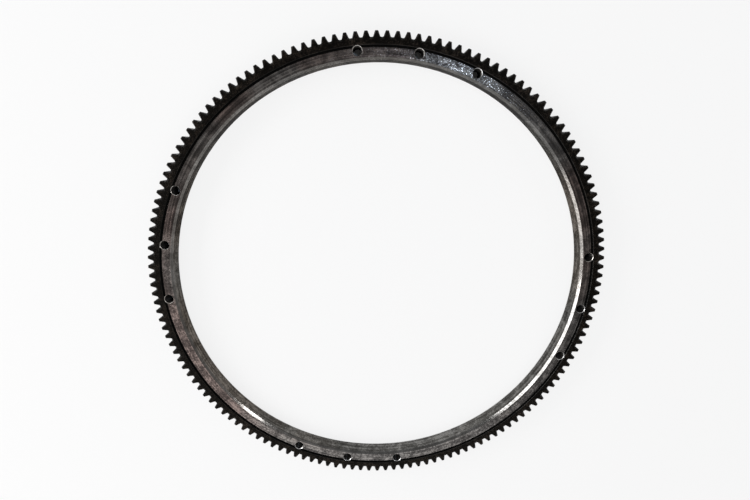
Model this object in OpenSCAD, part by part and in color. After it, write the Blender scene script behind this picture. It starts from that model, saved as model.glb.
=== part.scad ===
// Toothed ring for the rim of an engine flywheel, turned and hobbed as one piece.
// It lies on its back face, z = 0, with the ring axis on Z. The stepped front face points up.

/* [Teeth] */

// Tooth size, the pitch diameter divided by the number of teeth
tooth_module = 3.175; // [3.165:0.005:3.3]
// Height of a stub tooth above the pitch circle
addendum = 2.54; // [2.1:0.02:2.9]
// Depth of a gap below the pitch circle
dedendum = 3.175; // [2.7:0.025:3.6]
// Pressure angle of the involute flanks
pressure_angle = 20; // [17:0.5:23]
// How much each tooth is thinner than half the pitch, for running play
tooth_thinning = 0.2; // [0:0.02:0.4]
// Rounding along both edges of a tooth crest
crest_round = 0.35; // [0.15:0.05:0.5]
// Rounding in both root corners of a gap
root_round = 0.6; // [0.3:0.05:0.9]
// Angle from the X axis to the middle of the nearest tooth
tooth_turn = -0.717; // [-1.19:0.001:1.19]

/* [Tooth ends] */

// Depth of the lead-in bevel, down the tooth from the front face
lead_depth = 1.8; // [1:0.1:2.4]
// Width of the lead-in bevel at a tooth crest
crest_lead = 1.3; // [0.6:0.1:1.8]
// Width of the lead-in bevel on each flank
flank_lead = 1.15; // [0.6:0.05:1.3]
// Width of the lead-in bevel at the bottom of a gap
root_lead = 2; // [1:0.1:2.6]
// Size of the small bevel on the crests at the back face
back_lead = 0.8; // [0.3:0.1:1.5]

/* [Ring] */

// Thickness over the toothed rim
rim_width = 18; // [15:0.5:25]
// Step down from the rim face to the flange face
flange_step = 0.8; // [0.6:0.05:1.5]
// Width from the bore out to the step's wall, bevel and screw holes included
flange_width = 12.75; // [11.5:0.05:16]
// Least width of the rim face, from the step's wall to the bottom of the gaps
rim_band = 6.5; // [5:0.1:12]
// Small bevel along the top edge of the step
step_bevel = 0.35; // [0.2:0.05:0.5]
// Width of the relief groove at the foot of the step
relief_width = 2.3; // [1.2:0.1:2.8]
// Depth of the relief groove below the flange face
relief_depth = 0.7; // [0.3:0.05:1.2]

/* [Bore] */

// Diameter of the straight bore
bore_dia = 434; // [380:1:520]
// Width of the bevel at the front of the bore
bore_bevel = 2; // [0.5:0.05:2.2]
// Depth of that bevel along the axis
bore_bevel_depth = 2.4; // [1:0.1:3.5]
// Size of the small bevel at the back of the bore
back_bevel = 1; // [0.2:0.05:1.5]

/* [Screw holes] */

// Distance from the step's wall in to the hole centres
hole_inset = 4.75; // [4.5:0.05:5.5]
// Major diameter of the thread in each hole
hole_dia = 10; // [8:0.1:10.1]
// Angle between the holes of one group
hole_pitch = 15; // [10:1:30]

/* [Hidden] */

// Groups of holes round the ring, and holes in each group
hole_groups = 4;
group_holes = 3;
// Angle from the X axis to the middle of the first group
first_group = 45;

bore_r = bore_dia / 2;
step_r = bore_r + flange_width;
hole_circle_r = step_r - hole_inset;

// The smallest whole number of teeth that leaves the rim face its least width
tooth_count = ceil(2 * (step_r + rim_band + dedendum) / tooth_module);
pitch_r = tooth_count * tooth_module / 2;
tip_r = pitch_r + addendum;
root_r = pitch_r - dedendum;
base_r = pitch_r * cos(pressure_angle);
tooth_step = 360 / tooth_count;

flange_top = rim_width - flange_step;
lead_start = rim_width - lead_depth;
// Length of the bore between its two bevels
bore_length = flange_top - bore_bevel_depth - back_bevel;

// Allowance by which every cut passes through the surface it opens
past = 1;
// Half size of the blocks that bound a lead-in bevel, well over the height of a tooth
reach = 1.6 * (addendum + dedendum);
// How far a lead-in block rises above the front face, short of its neighbour
lead_rise = 0.1;
// The two slopes of the relief groove, as shares of its width and depth
groove_slope = 0.3;
groove_heel = 0.4;

// Involute of an angle, in degrees
function involute(a) = tan(a) * 180 / PI - a;

// Half the angle a tooth covers at radius r
function half_tooth(r) =
    90 / tooth_count - arc_deg(tooth_thinning / 2, pitch_r)
    + involute(pressure_angle) - involute(acos(base_r / r));

// Angle that a length along the circle of radius r covers
function arc_deg(len, r) = len / r * 180 / PI;

// Half the angle of the gap between two teeth at radius r
function half_gap(r) = tooth_step / 2 - half_tooth(r);

function polar(r, a) = [r * cos(a), r * sin(a)];

// Radii up one flank: root corner, middle, start of the crest rounding
flank_low = root_r + root_round;
flank_top = tip_r - crest_round;
flank_mid = (flank_low + flank_top) / 2;

// One side of a tooth as radius and half angle, from the gap bottom to the crest
side = [
    [root_r, half_tooth(root_r) + arc_deg(root_round, root_r)],
    [flank_low, half_tooth(flank_low)],
    [flank_mid, half_tooth(flank_mid)],
    [flank_top, half_tooth(flank_top)],
    [tip_r, half_tooth(tip_r) - arc_deg(crest_round, tip_r)]
];
last = len(side) - 1;

// Outline of the whole rim, tooth after tooth
outline = [
    for (i = [0 : tooth_count - 1])
        for (k = [0 : 2 * last + 1])
            let (p = side[k <= last ? k : 2 * last + 1 - k])
            polar(p[0], tooth_turn + i * tooth_step + (k <= last ? -p[1] : p[1]))
];

// Bore, its bevels, the flange face, the relief groove and the step, turned in one pass
module inner_cut() {
    groove_r = step_r - relief_width;
    groove_z = flange_top - relief_depth;
    rotate_extrude($fn = 180)
        polygon([
            [0, -past],
            [bore_r + back_bevel + past, -past],
            [bore_r, back_bevel],
            [bore_r, flange_top - bore_bevel_depth],
            [bore_r + bore_bevel, flange_top],
            [groove_r, flange_top],
            [groove_r + relief_width * groove_slope, groove_z],
            [step_r - relief_width * groove_slope / 2, groove_z],
            [step_r, groove_z + relief_depth * groove_heel],
            [step_r, rim_width - step_bevel],
            [step_r + step_bevel + past, rim_width + past],
            [0, rim_width + past]
        ]);
}

// Bevel turned on the tooth crests at the front face
module front_crest_cut() {
    slope = lead_depth / crest_lead;
    rotate_extrude($fn = 180)
        polygon([
            [tip_r + past, lead_start - slope * past],
            [tip_r + past, rim_width + slope * past],
            [tip_r - crest_lead - past, rim_width + slope * past]
        ]);
}

// Bevel turned on the tooth crests at the back face
module back_crest_cut() {
    rotate_extrude($fn = 180)
        polygon([
            [tip_r - back_lead - past, -past],
            [tip_r + past, -past],
            [tip_r + past, back_lead + past]
        ]);
}

// Block whose side leans outward along one flank of a gap that lies on the X axis
module flank_block() {
    foot = polar(root_r, half_gap(root_r));
    head = polar(tip_r, half_gap(tip_r));
    translate([foot[0], foot[1], lead_start])
        rotate([0, 0, atan2(head[1] - foot[1], head[0] - foot[0])])
            rotate([-atan2(flank_lead, lead_depth), 0, 0])
                translate([-reach, -reach, -reach])
                    cube([2 * reach, reach, 2 * reach]);
}

// Block whose side leans inward under the bottom of a gap
module root_block() {
    translate([root_r, 0, lead_start])
        rotate([0, -atan2(root_lead, lead_depth), 0])
            translate([0, -reach, -reach])
                cube([reach, 2 * reach, 2 * reach]);
}

// Lead-in bevel round the front end of one gap
module gap_lead() {
    intersection() {
        flank_block();
        mirror([0, 1, 0])
            flank_block();
        root_block();
        translate([root_r - reach, -reach, lead_start - past / 2])
            cube([2 * reach, 2 * reach, lead_depth + past / 2 + lead_rise]);
    }
}

// One screw hole right through the flange, close enough to the step to notch its wall
module screw_hole() {
    translate([0, 0, -past])
        cylinder(h = rim_width + 2 * past, d = hole_dia, $fn = 48);
}

// The whole ring: toothed rim, stepped flange, bore and screw holes
module ring_gear() {
    color([0.16, 0.15, 0.14])
        difference() {
            linear_extrude(height = rim_width)
                polygon(outline);
            inner_cut();
            front_crest_cut();
            back_crest_cut();
            for (i = [0 : tooth_count - 1])
                rotate([0, 0, tooth_turn + (i + 0.5) * tooth_step])
                    gap_lead();
            for (g = [0 : hole_groups - 1])
                for (j = [0 : group_holes - 1])
                    rotate([0, 0, first_group + g * 360 / hole_groups
                        + (j - (group_holes - 1) / 2) * hole_pitch])
                        translate([hole_circle_r, 0, 0])
                            screw_hole();
        }
}

// Which part to draw

ring_gear();
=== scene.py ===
import math

import bpy
from mathutils import Matrix, Vector


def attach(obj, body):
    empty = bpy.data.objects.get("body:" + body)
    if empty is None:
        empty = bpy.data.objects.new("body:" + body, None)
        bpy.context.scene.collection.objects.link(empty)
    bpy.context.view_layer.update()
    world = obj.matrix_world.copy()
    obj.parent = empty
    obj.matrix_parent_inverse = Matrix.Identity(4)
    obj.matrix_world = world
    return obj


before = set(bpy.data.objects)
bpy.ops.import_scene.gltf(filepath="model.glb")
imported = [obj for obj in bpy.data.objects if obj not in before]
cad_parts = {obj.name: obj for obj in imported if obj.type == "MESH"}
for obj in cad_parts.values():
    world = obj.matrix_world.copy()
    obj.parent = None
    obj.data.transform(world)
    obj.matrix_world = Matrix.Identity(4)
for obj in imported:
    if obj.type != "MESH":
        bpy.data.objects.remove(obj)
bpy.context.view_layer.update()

MM = 0.001

# sizes of the ring, in millimetres, as the drawing has them
TIP_R = 242.2525
ROOT_R = 236.5375
STEP_R = 229.75
BORE_R = 217.0
BORE_BEVEL = 2.0
RELIEF_IN = 227.45
RIM_TOP = 18.0
FLANGE_TOP = 17.2
LEAD_START = 16.2
HOLE_CIRCLE = 225.0
HOLE_R = 5.0
CREST_R = 4.3
PITCH = 1.5
THREAD_TURNS = 10
HOLE_ANGLES = [g * 90 + 45 + j * 15 for g in range(4) for j in (-1, 0, 1)]


def start_clean():
    if bpy.context.object and bpy.context.object.mode != "OBJECT":
        bpy.ops.object.mode_set(mode="OBJECT")
    bpy.ops.object.select_all(action="DESELECT")


# ---------------------------------------------------------------- node helpers


def new_material(name):
    mat = bpy.data.materials.new(name)
    mat.use_nodes = True
    nodes = mat.node_tree.nodes
    nodes.clear()
    out = nodes.new("ShaderNodeOutputMaterial")
    bsdf = nodes.new("ShaderNodeBsdfPrincipled")
    mat.node_tree.links.new(bsdf.outputs["BSDF"], out.inputs["Surface"])
    return mat, mat.node_tree, bsdf


def math_node(tree, op, a, b=None, c=None):
    n = tree.nodes.new("ShaderNodeMath")
    n.operation = op
    for i, v in enumerate((a, b, c)):
        if v is None:
            continue
        if isinstance(v, (int, float)):
            n.inputs[i].default_value = v
        else:
            tree.links.new(v, n.inputs[i])
    return n.outputs[0]


def noise_node(tree, vector, scale, detail=4.0, rough=0.55, distort=0.0):
    n = tree.nodes.new("ShaderNodeTexNoise")
    n.inputs["Scale"].default_value = scale
    n.inputs["Detail"].default_value = detail
    n.inputs["Roughness"].default_value = rough
    n.inputs["Distortion"].default_value = distort
    tree.links.new(vector, n.inputs["Vector"])
    return n.outputs["Fac"]


def ramp_node(tree, fac, stops):
    n = tree.nodes.new("ShaderNodeValToRGB")
    el = n.color_ramp.elements
    while len(el) < len(stops):
        el.new(0.5)
    for e, (pos, col) in zip(el, stops):
        e.position = pos
        e.color = (*col, 1) if len(col) == 3 else col
    tree.links.new(fac, n.inputs["Fac"])
    return n.outputs["Color"]


def mix_color(tree, fac, a, b, blend="MIX"):
    n = tree.nodes.new("ShaderNodeMix")
    n.data_type = "RGBA"
    n.blend_type = blend
    for sock, v in ((n.inputs[0], fac), (n.inputs[6], a), (n.inputs[7], b)):
        if isinstance(v, (int, float)):
            sock.default_value = v
        elif isinstance(v, tuple):
            sock.default_value = (*v, 1)
        else:
            tree.links.new(v, sock)
    return n.outputs[2]


def remap(tree, value, lo, hi, to_lo=0.0, to_hi=1.0):
    n = tree.nodes.new("ShaderNodeMapRange")
    n.inputs["From Min"].default_value = lo
    n.inputs["From Max"].default_value = hi
    n.inputs["To Min"].default_value = to_lo
    n.inputs["To Max"].default_value = to_hi
    tree.links.new(value, n.inputs["Value"])
    return n.outputs["Result"]


def bump(tree, bsdf, height, strength, distance):
    n = tree.nodes.new("ShaderNodeBump")
    n.inputs["Strength"].default_value = strength
    n.inputs["Distance"].default_value = distance
    tree.links.new(height, n.inputs["Height"])
    tree.links.new(n.outputs["Normal"], bsdf.inputs["Normal"])


def group_with(name, outs):
    g = bpy.data.node_groups.new(name, "ShaderNodeTree")
    for o in outs:
        g.interface.new_socket(o, in_out="OUTPUT", socket_type="NodeSocketFloat")
    return g, g.nodes.new("NodeGroupOutput")


def place_group(tree, group):
    n = tree.nodes.new("ShaderNodeGroup")
    n.node_tree = group
    return n


# Marks left by the lathe: fine lines that run round the ring, strong in some bands.
# The coordinate is the radius and height, with only a slow change round the ring.
def lathe_lines():
    g, out = group_with("lathe_lines", ["Fine", "Bands", "Radius"])
    tc = g.nodes.new("ShaderNodeTexCoord")
    sep = g.nodes.new("ShaderNodeSeparateXYZ")
    g.links.new(tc.outputs["Object"], sep.inputs[0])
    x, y, z = sep.outputs
    xx = math_node(g, "MULTIPLY", x, x)
    r = math_node(g, "SQRT", math_node(g, "MULTIPLY_ADD", y, y, xx))
    com = g.nodes.new("ShaderNodeCombineXYZ")
    g.links.new(math_node(g, "MULTIPLY", math_node(g, "ADD", r, z), 60.0), com.inputs[0])
    g.links.new(x, com.inputs[1])
    g.links.new(y, com.inputs[2])
    g.links.new(noise_node(g, com.outputs[0], 46.0, 5.0, 0.7), out.inputs["Fine"])
    g.links.new(noise_node(g, com.outputs[0], 9.0, 2.0, 0.5), out.inputs["Bands"])
    g.links.new(r, out.inputs["Radius"])
    return g


# Stains and handling marks, from hand sized clouds to fine speckle.
def old_stains():
    g, out = group_with("old_stains", ["Clouds", "Patches", "Mottle", "Speckle"])
    tc = g.nodes.new("ShaderNodeTexCoord")
    obj = tc.outputs["Object"]
    # one side of the ring took more heat, so the clouds are warmer there
    hot = g.nodes.new("ShaderNodeVectorMath")
    hot.operation = "DOT_PRODUCT"
    hot.inputs[1].default_value = (0.08, -0.49, 0.0)
    g.links.new(obj, hot.inputs[0])
    clouds = math_node(g, "ADD", noise_node(g, obj, 7.0, 3.0, 0.5, 0.6), hot.outputs["Value"])
    g.links.new(clouds, out.inputs["Clouds"])
    g.links.new(noise_node(g, obj, 62.0, 6.0, 0.62, 0.8), out.inputs["Patches"])
    g.links.new(noise_node(g, obj, 420.0, 5.0, 0.7), out.inputs["Mottle"])
    g.links.new(noise_node(g, obj, 1100.0, 3.0, 0.6), out.inputs["Speckle"])
    return g


# Corners where handling has rubbed the surface bright, and on the thread crests a painted shine.
def rubbed_edges():
    g, out = group_with("rubbed_edges", ["Edge"])
    bev = g.nodes.new("ShaderNodeBevel")
    bev.samples = 6
    bev.inputs["Radius"].default_value = 0.0005
    geo = g.nodes.new("ShaderNodeNewGeometry")
    dot = g.nodes.new("ShaderNodeVectorMath")
    dot.operation = "DOT_PRODUCT"
    g.links.new(bev.outputs[0], dot.inputs[0])
    g.links.new(geo.outputs["True Normal"], dot.inputs[1])
    away = math_node(g, "SUBTRACT", 1.0, dot.outputs["Value"])
    g.links.new(remap(g, away, 0.01, 0.12), out.inputs["Edge"])
    return g


LATHE = lathe_lines()
STAINS = old_stains()
EDGES = rubbed_edges()


def rim_black():
    """The toothed rim: black from heat and oil, with a dull brown bloom."""
    mat, tree, bsdf = new_material("rim_black")
    stains = place_group(tree, STAINS)
    lathe = place_group(tree, LATHE)
    edges = place_group(tree, EDGES)
    mix = math_node(tree, "MULTIPLY", stains.outputs["Patches"], 0.25)
    mix = math_node(tree, "MULTIPLY_ADD", stains.outputs["Mottle"], 0.35, mix)
    mix = math_node(tree, "MULTIPLY_ADD", stains.outputs["Speckle"], 0.4, mix)
    dark = ramp_node(
        tree,
        mix,
        [(0.42, (0.0003, 0.0003, 0.0002)), (0.51, (0.0012, 0.001, 0.0008)), (0.6, (0.034, 0.026, 0.02))],
    )
    edge = math_node(tree, "MULTIPLY", edges.outputs["Edge"], stains.outputs["Patches"])
    col = mix_color(tree, math_node(tree, "MULTIPLY", edge, 0.45), dark, (0.03, 0.027, 0.023))
    tree.links.new(col, bsdf.inputs["Base Color"])
    rough = remap(tree, stains.outputs["Mottle"], 0.4, 0.6, 0.62, 0.3)
    tree.links.new(rough, bsdf.inputs["Roughness"])
    bsdf.inputs["Specular IOR Level"].default_value = 0.08
    bsdf.inputs["Specular Tint"].default_value = (1.0, 0.88, 0.78, 1)
    h = math_node(tree, "MULTIPLY_ADD", lathe.outputs["Fine"], 0.5, stains.outputs["Mottle"])
    bump(tree, bsdf, h, 0.6, 0.0004)
    return mat


def steel_finish(name, dark, light, metallic, rough, rough_span, tint, relief, graze=1.0):
    """Turned steel between a dark and a light grey, mottled, lined and a little stained."""
    mat, tree, bsdf = new_material(name)
    stains = place_group(tree, STAINS)
    lathe = place_group(tree, LATHE)
    a = math_node(tree, "MULTIPLY", stains.outputs["Patches"], 0.35)
    a = math_node(tree, "MULTIPLY_ADD", stains.outputs["Mottle"], 0.35, a)
    a = math_node(tree, "MULTIPLY_ADD", lathe.outputs["Bands"], 0.3, a)
    mid = tuple(math.sqrt(x * y) for x, y in zip(dark, light))
    base = ramp_node(tree, a, [(0.42, dark), (0.5, mid), (0.57, light)])
    cloud = ramp_node(
        tree,
        stains.outputs["Clouds"],
        [(0.36, (0.94, 0.96, 0.98)), (0.46, (1.0, 1.0, 1.0)), (0.58, tint)],
    )
    col = mix_color(tree, 1.0, base, cloud, "MULTIPLY")
    tree.links.new(col, bsdf.inputs["Base Color"])
    bsdf.inputs["Metallic"].default_value = metallic
    bsdf.inputs["Specular Tint"].default_value = (graze, graze, graze, 1)
    bsdf.inputs["Specular IOR Level"].default_value = 0.5 * graze
    polish = math_node(tree, "MULTIPLY_ADD", stains.outputs["Speckle"], 0.35, math_node(tree, "MULTIPLY", stains.outputs["Mottle"], 0.65))
    tree.links.new(remap(tree, polish, 0.45, 0.56, rough + rough_span, rough), bsdf.inputs["Roughness"])
    h = math_node(tree, "MULTIPLY_ADD", lathe.outputs["Fine"], 0.6, stains.outputs["Speckle"])
    bump(tree, bsdf, h, relief, 0.0001)
    return mat


def flange_satin():
    """The turned flange face: satin grey, mottled, brownish in places."""
    return steel_finish("flange_satin", (0.034, 0.031, 0.0295), (0.24, 0.222, 0.208), 0.8, 0.06, 0.34, (1.0, 0.83, 0.80), 1.0)


def bore_turned():
    """The bore wall: cleaner turned steel."""
    return steel_finish("bore_turned", (0.065, 0.062, 0.057), (0.28, 0.269, 0.253), 0.78, 0.14, 0.25, (1.0, 0.93, 0.88), 0.4, 0.1)


def bevel_bright():
    """The bevel at the bore's mouth, the brightest cut on the ring."""
    return steel_finish("bevel_bright", (0.15, 0.145, 0.138), (0.36, 0.35, 0.34), 0.95, 0.06, 0.14, (1.0, 0.96, 0.93), 0.12)


def step_edge():
    """The small bevel on the edge of the step, where the black has worn thin, coloured lighter as a painted highlight
    along the edge.
    """
    return steel_finish("step_edge", (0.006, 0.0055, 0.005), (0.04, 0.037, 0.034), 0.6, 0.25, 0.3, (1.0, 0.9, 0.85), 0.2)


def groove_dark():
    """The relief groove at the foot of the step, coloured near black."""
    mat, tree, bsdf = new_material("groove_dark")
    stains = place_group(tree, STAINS)
    col = ramp_node(
        tree,
        stains.outputs["Mottle"],
        [(0.35, (0.0006, 0.0006, 0.0006)), (0.65, (0.003, 0.0026, 0.0022))],
    )
    tree.links.new(col, bsdf.inputs["Base Color"])
    bsdf.inputs["Roughness"].default_value = 0.55
    bsdf.inputs["Specular IOR Level"].default_value = 0.05
    bump(tree, bsdf, stains.outputs["Speckle"], 0.2, 0.0002)
    return mat


def mouth_steel():
    """The bevel at the mouth of a hole: bare bright steel."""
    return steel_finish("mouth_steel", (0.6, 0.59, 0.57), (0.92, 0.9, 0.88), 0.9, 0.15, 0.3, (1.0, 0.95, 0.9), 0.15)


def thread_painted_shade():
    """The thread down a hole: coloured near black as painted shade down the hole, with a painted dull shine on the
    crests.
    """
    mat, tree, bsdf = new_material("thread_painted_shade")
    stains = place_group(tree, STAINS)
    edges = place_group(tree, EDGES)
    # painted shade: a near-black colour for the little light that gets down a hole
    base = ramp_node(
        tree,
        stains.outputs["Mottle"],
        [(0.35, (0.002, 0.0017, 0.0015)), (0.65, (0.012, 0.010, 0.009))],
    )
    # painted shine: the crest edges are coloured lighter
    col = mix_color(tree, edges.outputs["Edge"], base, (0.045, 0.042, 0.04))
    tree.links.new(col, bsdf.inputs["Base Color"])
    bsdf.inputs["Metallic"].default_value = 0.7
    bsdf.inputs["Roughness"].default_value = 0.3
    bump(tree, bsdf, stains.outputs["Speckle"], 0.15, 0.0001)
    return mat


# ---------------------------------------------------------------- the ring


def finish_ring(ring):
    """Gives each turned surface of the ring its own finish."""
    ring.data.materials.clear()
    for m in (rim_black(), flange_satin(), bore_turned(), bevel_bright(), groove_dark(), step_edge(), thread_painted_shade()):
        ring.data.materials.append(m)
    for face in ring.data.polygons:
        face.material_index = finish_at(face.center / MM, face.normal.z)


# Which finish a face gets, from its place: 0 rim, 1 flange and back, 2 bore wall,
# 3 bore bevels, 4 relief groove and step wall, 5 step edge, 6 hole walls.
def finish_at(c, up):
    r = math.hypot(c.x, c.y)
    steep = abs(up) < 0.1
    for angle in HOLE_ANGLES:
        a = math.radians(angle)
        if math.hypot(c.x - HOLE_CIRCLE * math.cos(a), c.y - HOLE_CIRCLE * math.sin(a)) < HOLE_R + 0.02:
            if steep:
                return 6
    if up < -0.9:
        return 1
    if r < BORE_R + 0.05 and steep:
        return 2
    if r < BORE_R + BORE_BEVEL and not steep and abs(up) < 0.95:
        return 3
    if r > ROOT_R - 3 or (r > STEP_R + 0.2 and c.z > RIM_TOP - 0.05):
        return 0
    if r > STEP_R and c.z > RIM_TOP - 0.5:
        return 5
    if r > RELIEF_IN and (c.z < FLANGE_TOP - 0.05 or steep):
        return 4
    if up > 0.9:
        return 1
    return 0


def screw_thread(name, angle, bright, painted_shade_thread):
    """Thread inside one hole: a mouth bevel with a helical ridge below it."""
    start_clean()
    # the mouth: a three sided section carried round the hole
    bpy.ops.mesh.primitive_circle_add(vertices=3, radius=0.004)
    mouth = bpy.context.object
    mouth.name = name
    section = [(HOLE_R + 0.03, FLANGE_TOP - 0.02), (HOLE_R - 0.4, FLANGE_TOP - 0.5), (HOLE_R + 0.03, FLANGE_TOP - 0.9)]
    for v, (r, z) in zip(mouth.data.vertices, section):
        v.co = (r * MM, 0, z * MM)
    turn = mouth.modifiers.new("turn", "SCREW")
    turn.angle = math.radians(360)
    turn.screw_offset = 0
    turn.steps = 32
    turn.render_steps = 32
    turn.use_merge_vertices = True
    turn.merge_threshold = 0.00001
    bpy.ops.object.modifier_apply(modifier="turn")
    # the ridge: the same section carried down the hole in a helix
    start_clean()
    bpy.ops.mesh.primitive_circle_add(vertices=3, radius=0.004, fill_type="NGON")
    ridge = bpy.context.object
    section = [(HOLE_R + 0.03, 0.62), (CREST_R, 0.06), (HOLE_R + 0.03, -0.62)]
    for v, (r, z) in zip(ridge.data.vertices, section):
        v.co = (r * MM, 0, (z + 0.8) * MM)
    bpy.ops.object.mode_set(mode="EDIT")
    bpy.ops.mesh.select_all(action="SELECT")
    bpy.ops.mesh.delete(type="ONLY_FACE")
    bpy.ops.object.mode_set(mode="OBJECT")
    climb = ridge.modifiers.new("climb", "SCREW")
    climb.angle = math.radians(360)
    climb.iterations = THREAD_TURNS
    climb.screw_offset = PITCH * MM
    climb.steps = 24
    climb.render_steps = 24
    bpy.ops.object.modifier_apply(modifier="climb")
    bpy.ops.object.mode_set(mode="EDIT")
    bpy.ops.mesh.select_all(action="DESELECT")
    bpy.ops.mesh.select_non_manifold()
    bpy.ops.mesh.edge_face_add()
    bpy.ops.object.mode_set(mode="OBJECT")
    mouth.data.materials.append(bright)
    ridge.data.materials.append(painted_shade_thread)
    mouth.select_set(True)
    bpy.context.view_layer.objects.active = mouth
    bpy.ops.object.join()
    bpy.ops.object.mode_set(mode="EDIT")
    bpy.ops.mesh.select_all(action="SELECT")
    bpy.ops.mesh.normals_make_consistent(inside=False)
    bpy.ops.object.mode_set(mode="OBJECT")
    bpy.ops.object.shade_smooth_by_angle(angle=math.radians(35))
    a = math.radians(angle)
    spin = Matrix.Rotation(a, 4, "Z")
    move = Matrix.Translation((HOLE_CIRCLE * MM, 0, 0))
    mouth.data.transform(spin @ move)
    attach(mouth, "root")
    return mouth


def light(name, kind, place, aim, energy, size=None, size_y=None, color=(1, 1, 1)):
    data = bpy.data.lights.new(name, kind)
    data.energy = energy
    data.color = color
    if kind == "AREA":
        data.shape = "RECTANGLE"
        data.size = size
        data.size_y = size_y or size
    ob = bpy.data.objects.new(name, data)
    bpy.context.scene.collection.objects.link(ob)
    ob.location = place
    ob.rotation_euler = (Vector(aim) - Vector(place)).to_track_quat("-Z", "Y").to_euler()
    return ob


def white_floor():
    start_clean()
    bpy.ops.mesh.primitive_plane_add(size=8, location=(0, 0, -0.2 * MM))
    floor = bpy.context.object
    floor.name = "floor"
    mat, tree, bsdf = new_material("floor_white")
    bsdf.inputs["Base Color"].default_value = (0.9, 0.9, 0.9, 1)
    bsdf.inputs["Roughness"].default_value = 0.9
    bsdf.inputs["Specular IOR Level"].default_value = 0.1
    path = tree.nodes.new("ShaderNodeLightPath")
    glossy = math_node(tree, "MULTIPLY", path.outputs["Is Glossy Ray"], 0.65)
    seen = math_node(tree, "MULTIPLY_ADD", path.outputs["Is Camera Ray"], 0.82, glossy)
    # painted shadow: close under the ring no light gets in, so a ring-shaped mask stops the paleness there
    tc = tree.nodes.new("ShaderNodeTexCoord")
    span = tree.nodes.new("ShaderNodeVectorMath")
    span.operation = "LENGTH"
    tree.links.new(tc.outputs["Object"], span.inputs[0])
    off = math_node(tree, "ABSOLUTE", math_node(tree, "SUBTRACT", span.outputs["Value"], 0.2275))
    glow_outside_painted_shadow = remap(tree, off, 0.0085, 0.0105)
    geo = tree.nodes.new("ShaderNodeNewGeometry")
    glow_outside_painted_shadow = math_node(tree, "MAXIMUM", glow_outside_painted_shadow, geo.outputs["Backfacing"])
    glow = tree.nodes.new("ShaderNodeEmission")
    glow.inputs["Color"].default_value = (1, 1, 1, 1)
    glow.inputs["Strength"].default_value = 1.0
    blend = tree.nodes.new("ShaderNodeMixShader")
    tree.links.new(math_node(tree, "MULTIPLY", seen, glow_outside_painted_shadow), blend.inputs[0])
    tree.links.new(bsdf.outputs["BSDF"], blend.inputs[1])
    tree.links.new(glow.outputs["Emission"], blend.inputs[2])
    out = [n for n in tree.nodes if n.bl_idname == "ShaderNodeOutputMaterial"][0]
    tree.links.new(blend.outputs["Shader"], out.inputs["Surface"])
    floor.data.materials.append(mat)
    return floor


def photo_camera():
    """The photograph's own camera: a short lens close above, looking nearly straight down."""
    turn = Matrix.Rotation(math.radians(154.25), 4, "Z")
    eye = Vector((0.0258, 0.5665, 1.7921)) * TIP_R * MM + Vector((0, 0, LEAD_START * MM))
    right = Vector((0.9854, -0.1679, 0.02822))
    up = Vector((0.16978, 0.95679, -0.23607))
    back = right.cross(up)
    cam = bpy.data.cameras.new("photo_camera")
    cam.sensor_width = 36
    cam.lens = 20.4
    cam.clip_start = 0.01
    cam.clip_end = 50
    ob = bpy.data.objects.new("photo_camera", cam)
    bpy.context.scene.collection.objects.link(ob)
    m = Matrix((right, up, back)).transposed().to_4x4()
    m.translation = eye
    ob.matrix_world = turn @ m
    bpy.context.scene.camera = ob
    return ob


def toward(azimuth, elevation, distance):
    a, e = math.radians(azimuth), math.radians(elevation)
    return Vector((math.cos(a) * math.cos(e), math.sin(a) * math.cos(e), math.sin(e))) * distance


def room():
    """A pale, evenly lit room with two low windows and a soft box."""
    scene = bpy.context.scene
    scene.view_settings.view_transform = "Standard"
    world = bpy.data.worlds.new("room")
    scene.world = world
    world.use_nodes = True
    tree = world.node_tree
    back = tree.nodes["Background"]
    back.inputs["Color"].default_value = (1, 0.99, 0.98, 1)
    # brighter round the foot of the walls than above, and white behind the part
    tc = tree.nodes.new("ShaderNodeTexCoord")
    sep = tree.nodes.new("ShaderNodeSeparateXYZ")
    tree.links.new(tc.outputs["Generated"], sep.inputs[0])
    glow = remap(tree, sep.outputs["Z"], 0.1, 0.3, 0.62, 0.24)
    path = tree.nodes.new("ShaderNodeLightPath")
    tree.links.new(math_node(tree, "MAXIMUM", glow, path.outputs["Is Camera Ray"]), back.inputs["Strength"])
    light("window_wide", "AREA", toward(-47, 23, 1.6), (0, 0, 0), 17, 1.6, 0.6)
    light("window_side", "AREA", toward(-1, 15, 1.45), (0, 0, 0), 1.4, 0.7, 0.3)
    light("window_narrow", "AREA", toward(-181.5, 25.5, 1.6), (0, 0, 0), 1.9, 0.18, 0.4)
    light("soft_box", "AREA", toward(42, 50, 1.9), (0, 0, 0), 12, 2.2, 1.4)
    light("lamp", "AREA", toward(197.9, 66.9, 1.36), (0, 0, 0), 1.15, 0.05, 0.05, (0.68, 0.82, 1.0))


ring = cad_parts["ring_gear"]
finish_ring(ring)
bright, painted_shade_thread = mouth_steel(), thread_painted_shade()
for i, angle in enumerate(HOLE_ANGLES):
    screw_thread(f"thread_{i + 1}", angle, bright, painted_shade_thread)
white_floor()
photo_camera()
room()
